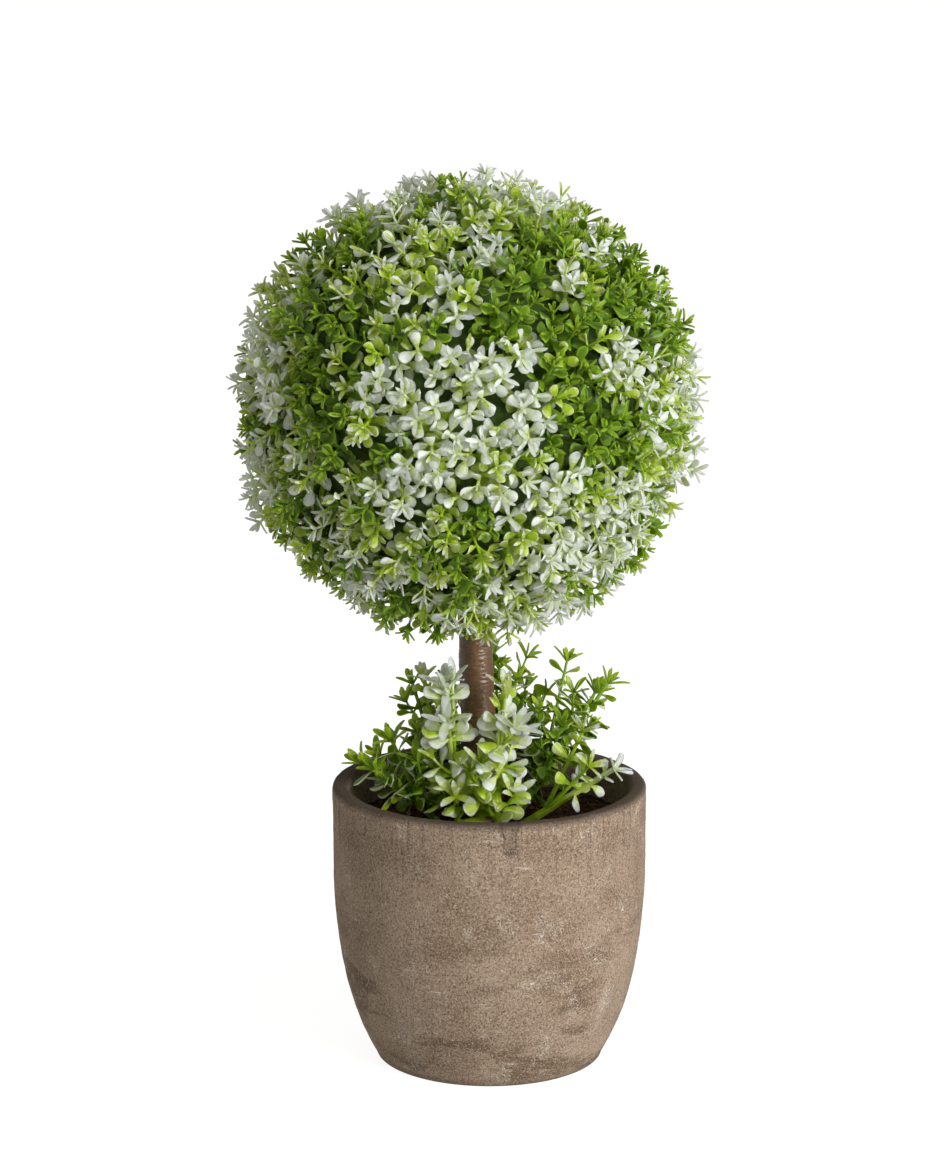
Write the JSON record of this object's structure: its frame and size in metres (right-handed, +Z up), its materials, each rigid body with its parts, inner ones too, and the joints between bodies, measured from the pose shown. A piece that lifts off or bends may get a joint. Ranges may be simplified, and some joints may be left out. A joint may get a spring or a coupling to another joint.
{
  "type": "artificial topiary ball tree",
  "caption": "Tabletop artificial topiary: a clipped ball of white-edged box sprigs on a straight brown stem, in a round fibre-cement pot with loose sprigs at the stem's foot.",
  "frame": {"origin": "centre of the pot's flat underside", "axes": "+Z up the stem, +X to the right and +Y away from the viewer, seen from the front"},
  "size_m": [0.1607, 0.162, 0.3125],
  "materials": {
    "pot": "matte",
    "fill": "matte",
    "trunk": "satin",
    "crown_leaves": "satin",
    "variegated_leaves": "satin",
    "green_leaves": "satin",
    "white_leaves": "satin"
  },
  "bodies": {
    "root": {"pot": "pot", "fill": "fill", "trunk": "trunk", "crown": "crown_leaves", "sprig_right": "variegated_leaves", "sprig_back_right": "green_leaves", "sprig_back": "green_leaves", "sprig_back_left": "green_leaves", "sprig_left": "variegated_leaves", "sprig_front_left": "white_leaves", "sprig_front_right": "white_leaves"}
  },
  "joints": []
}
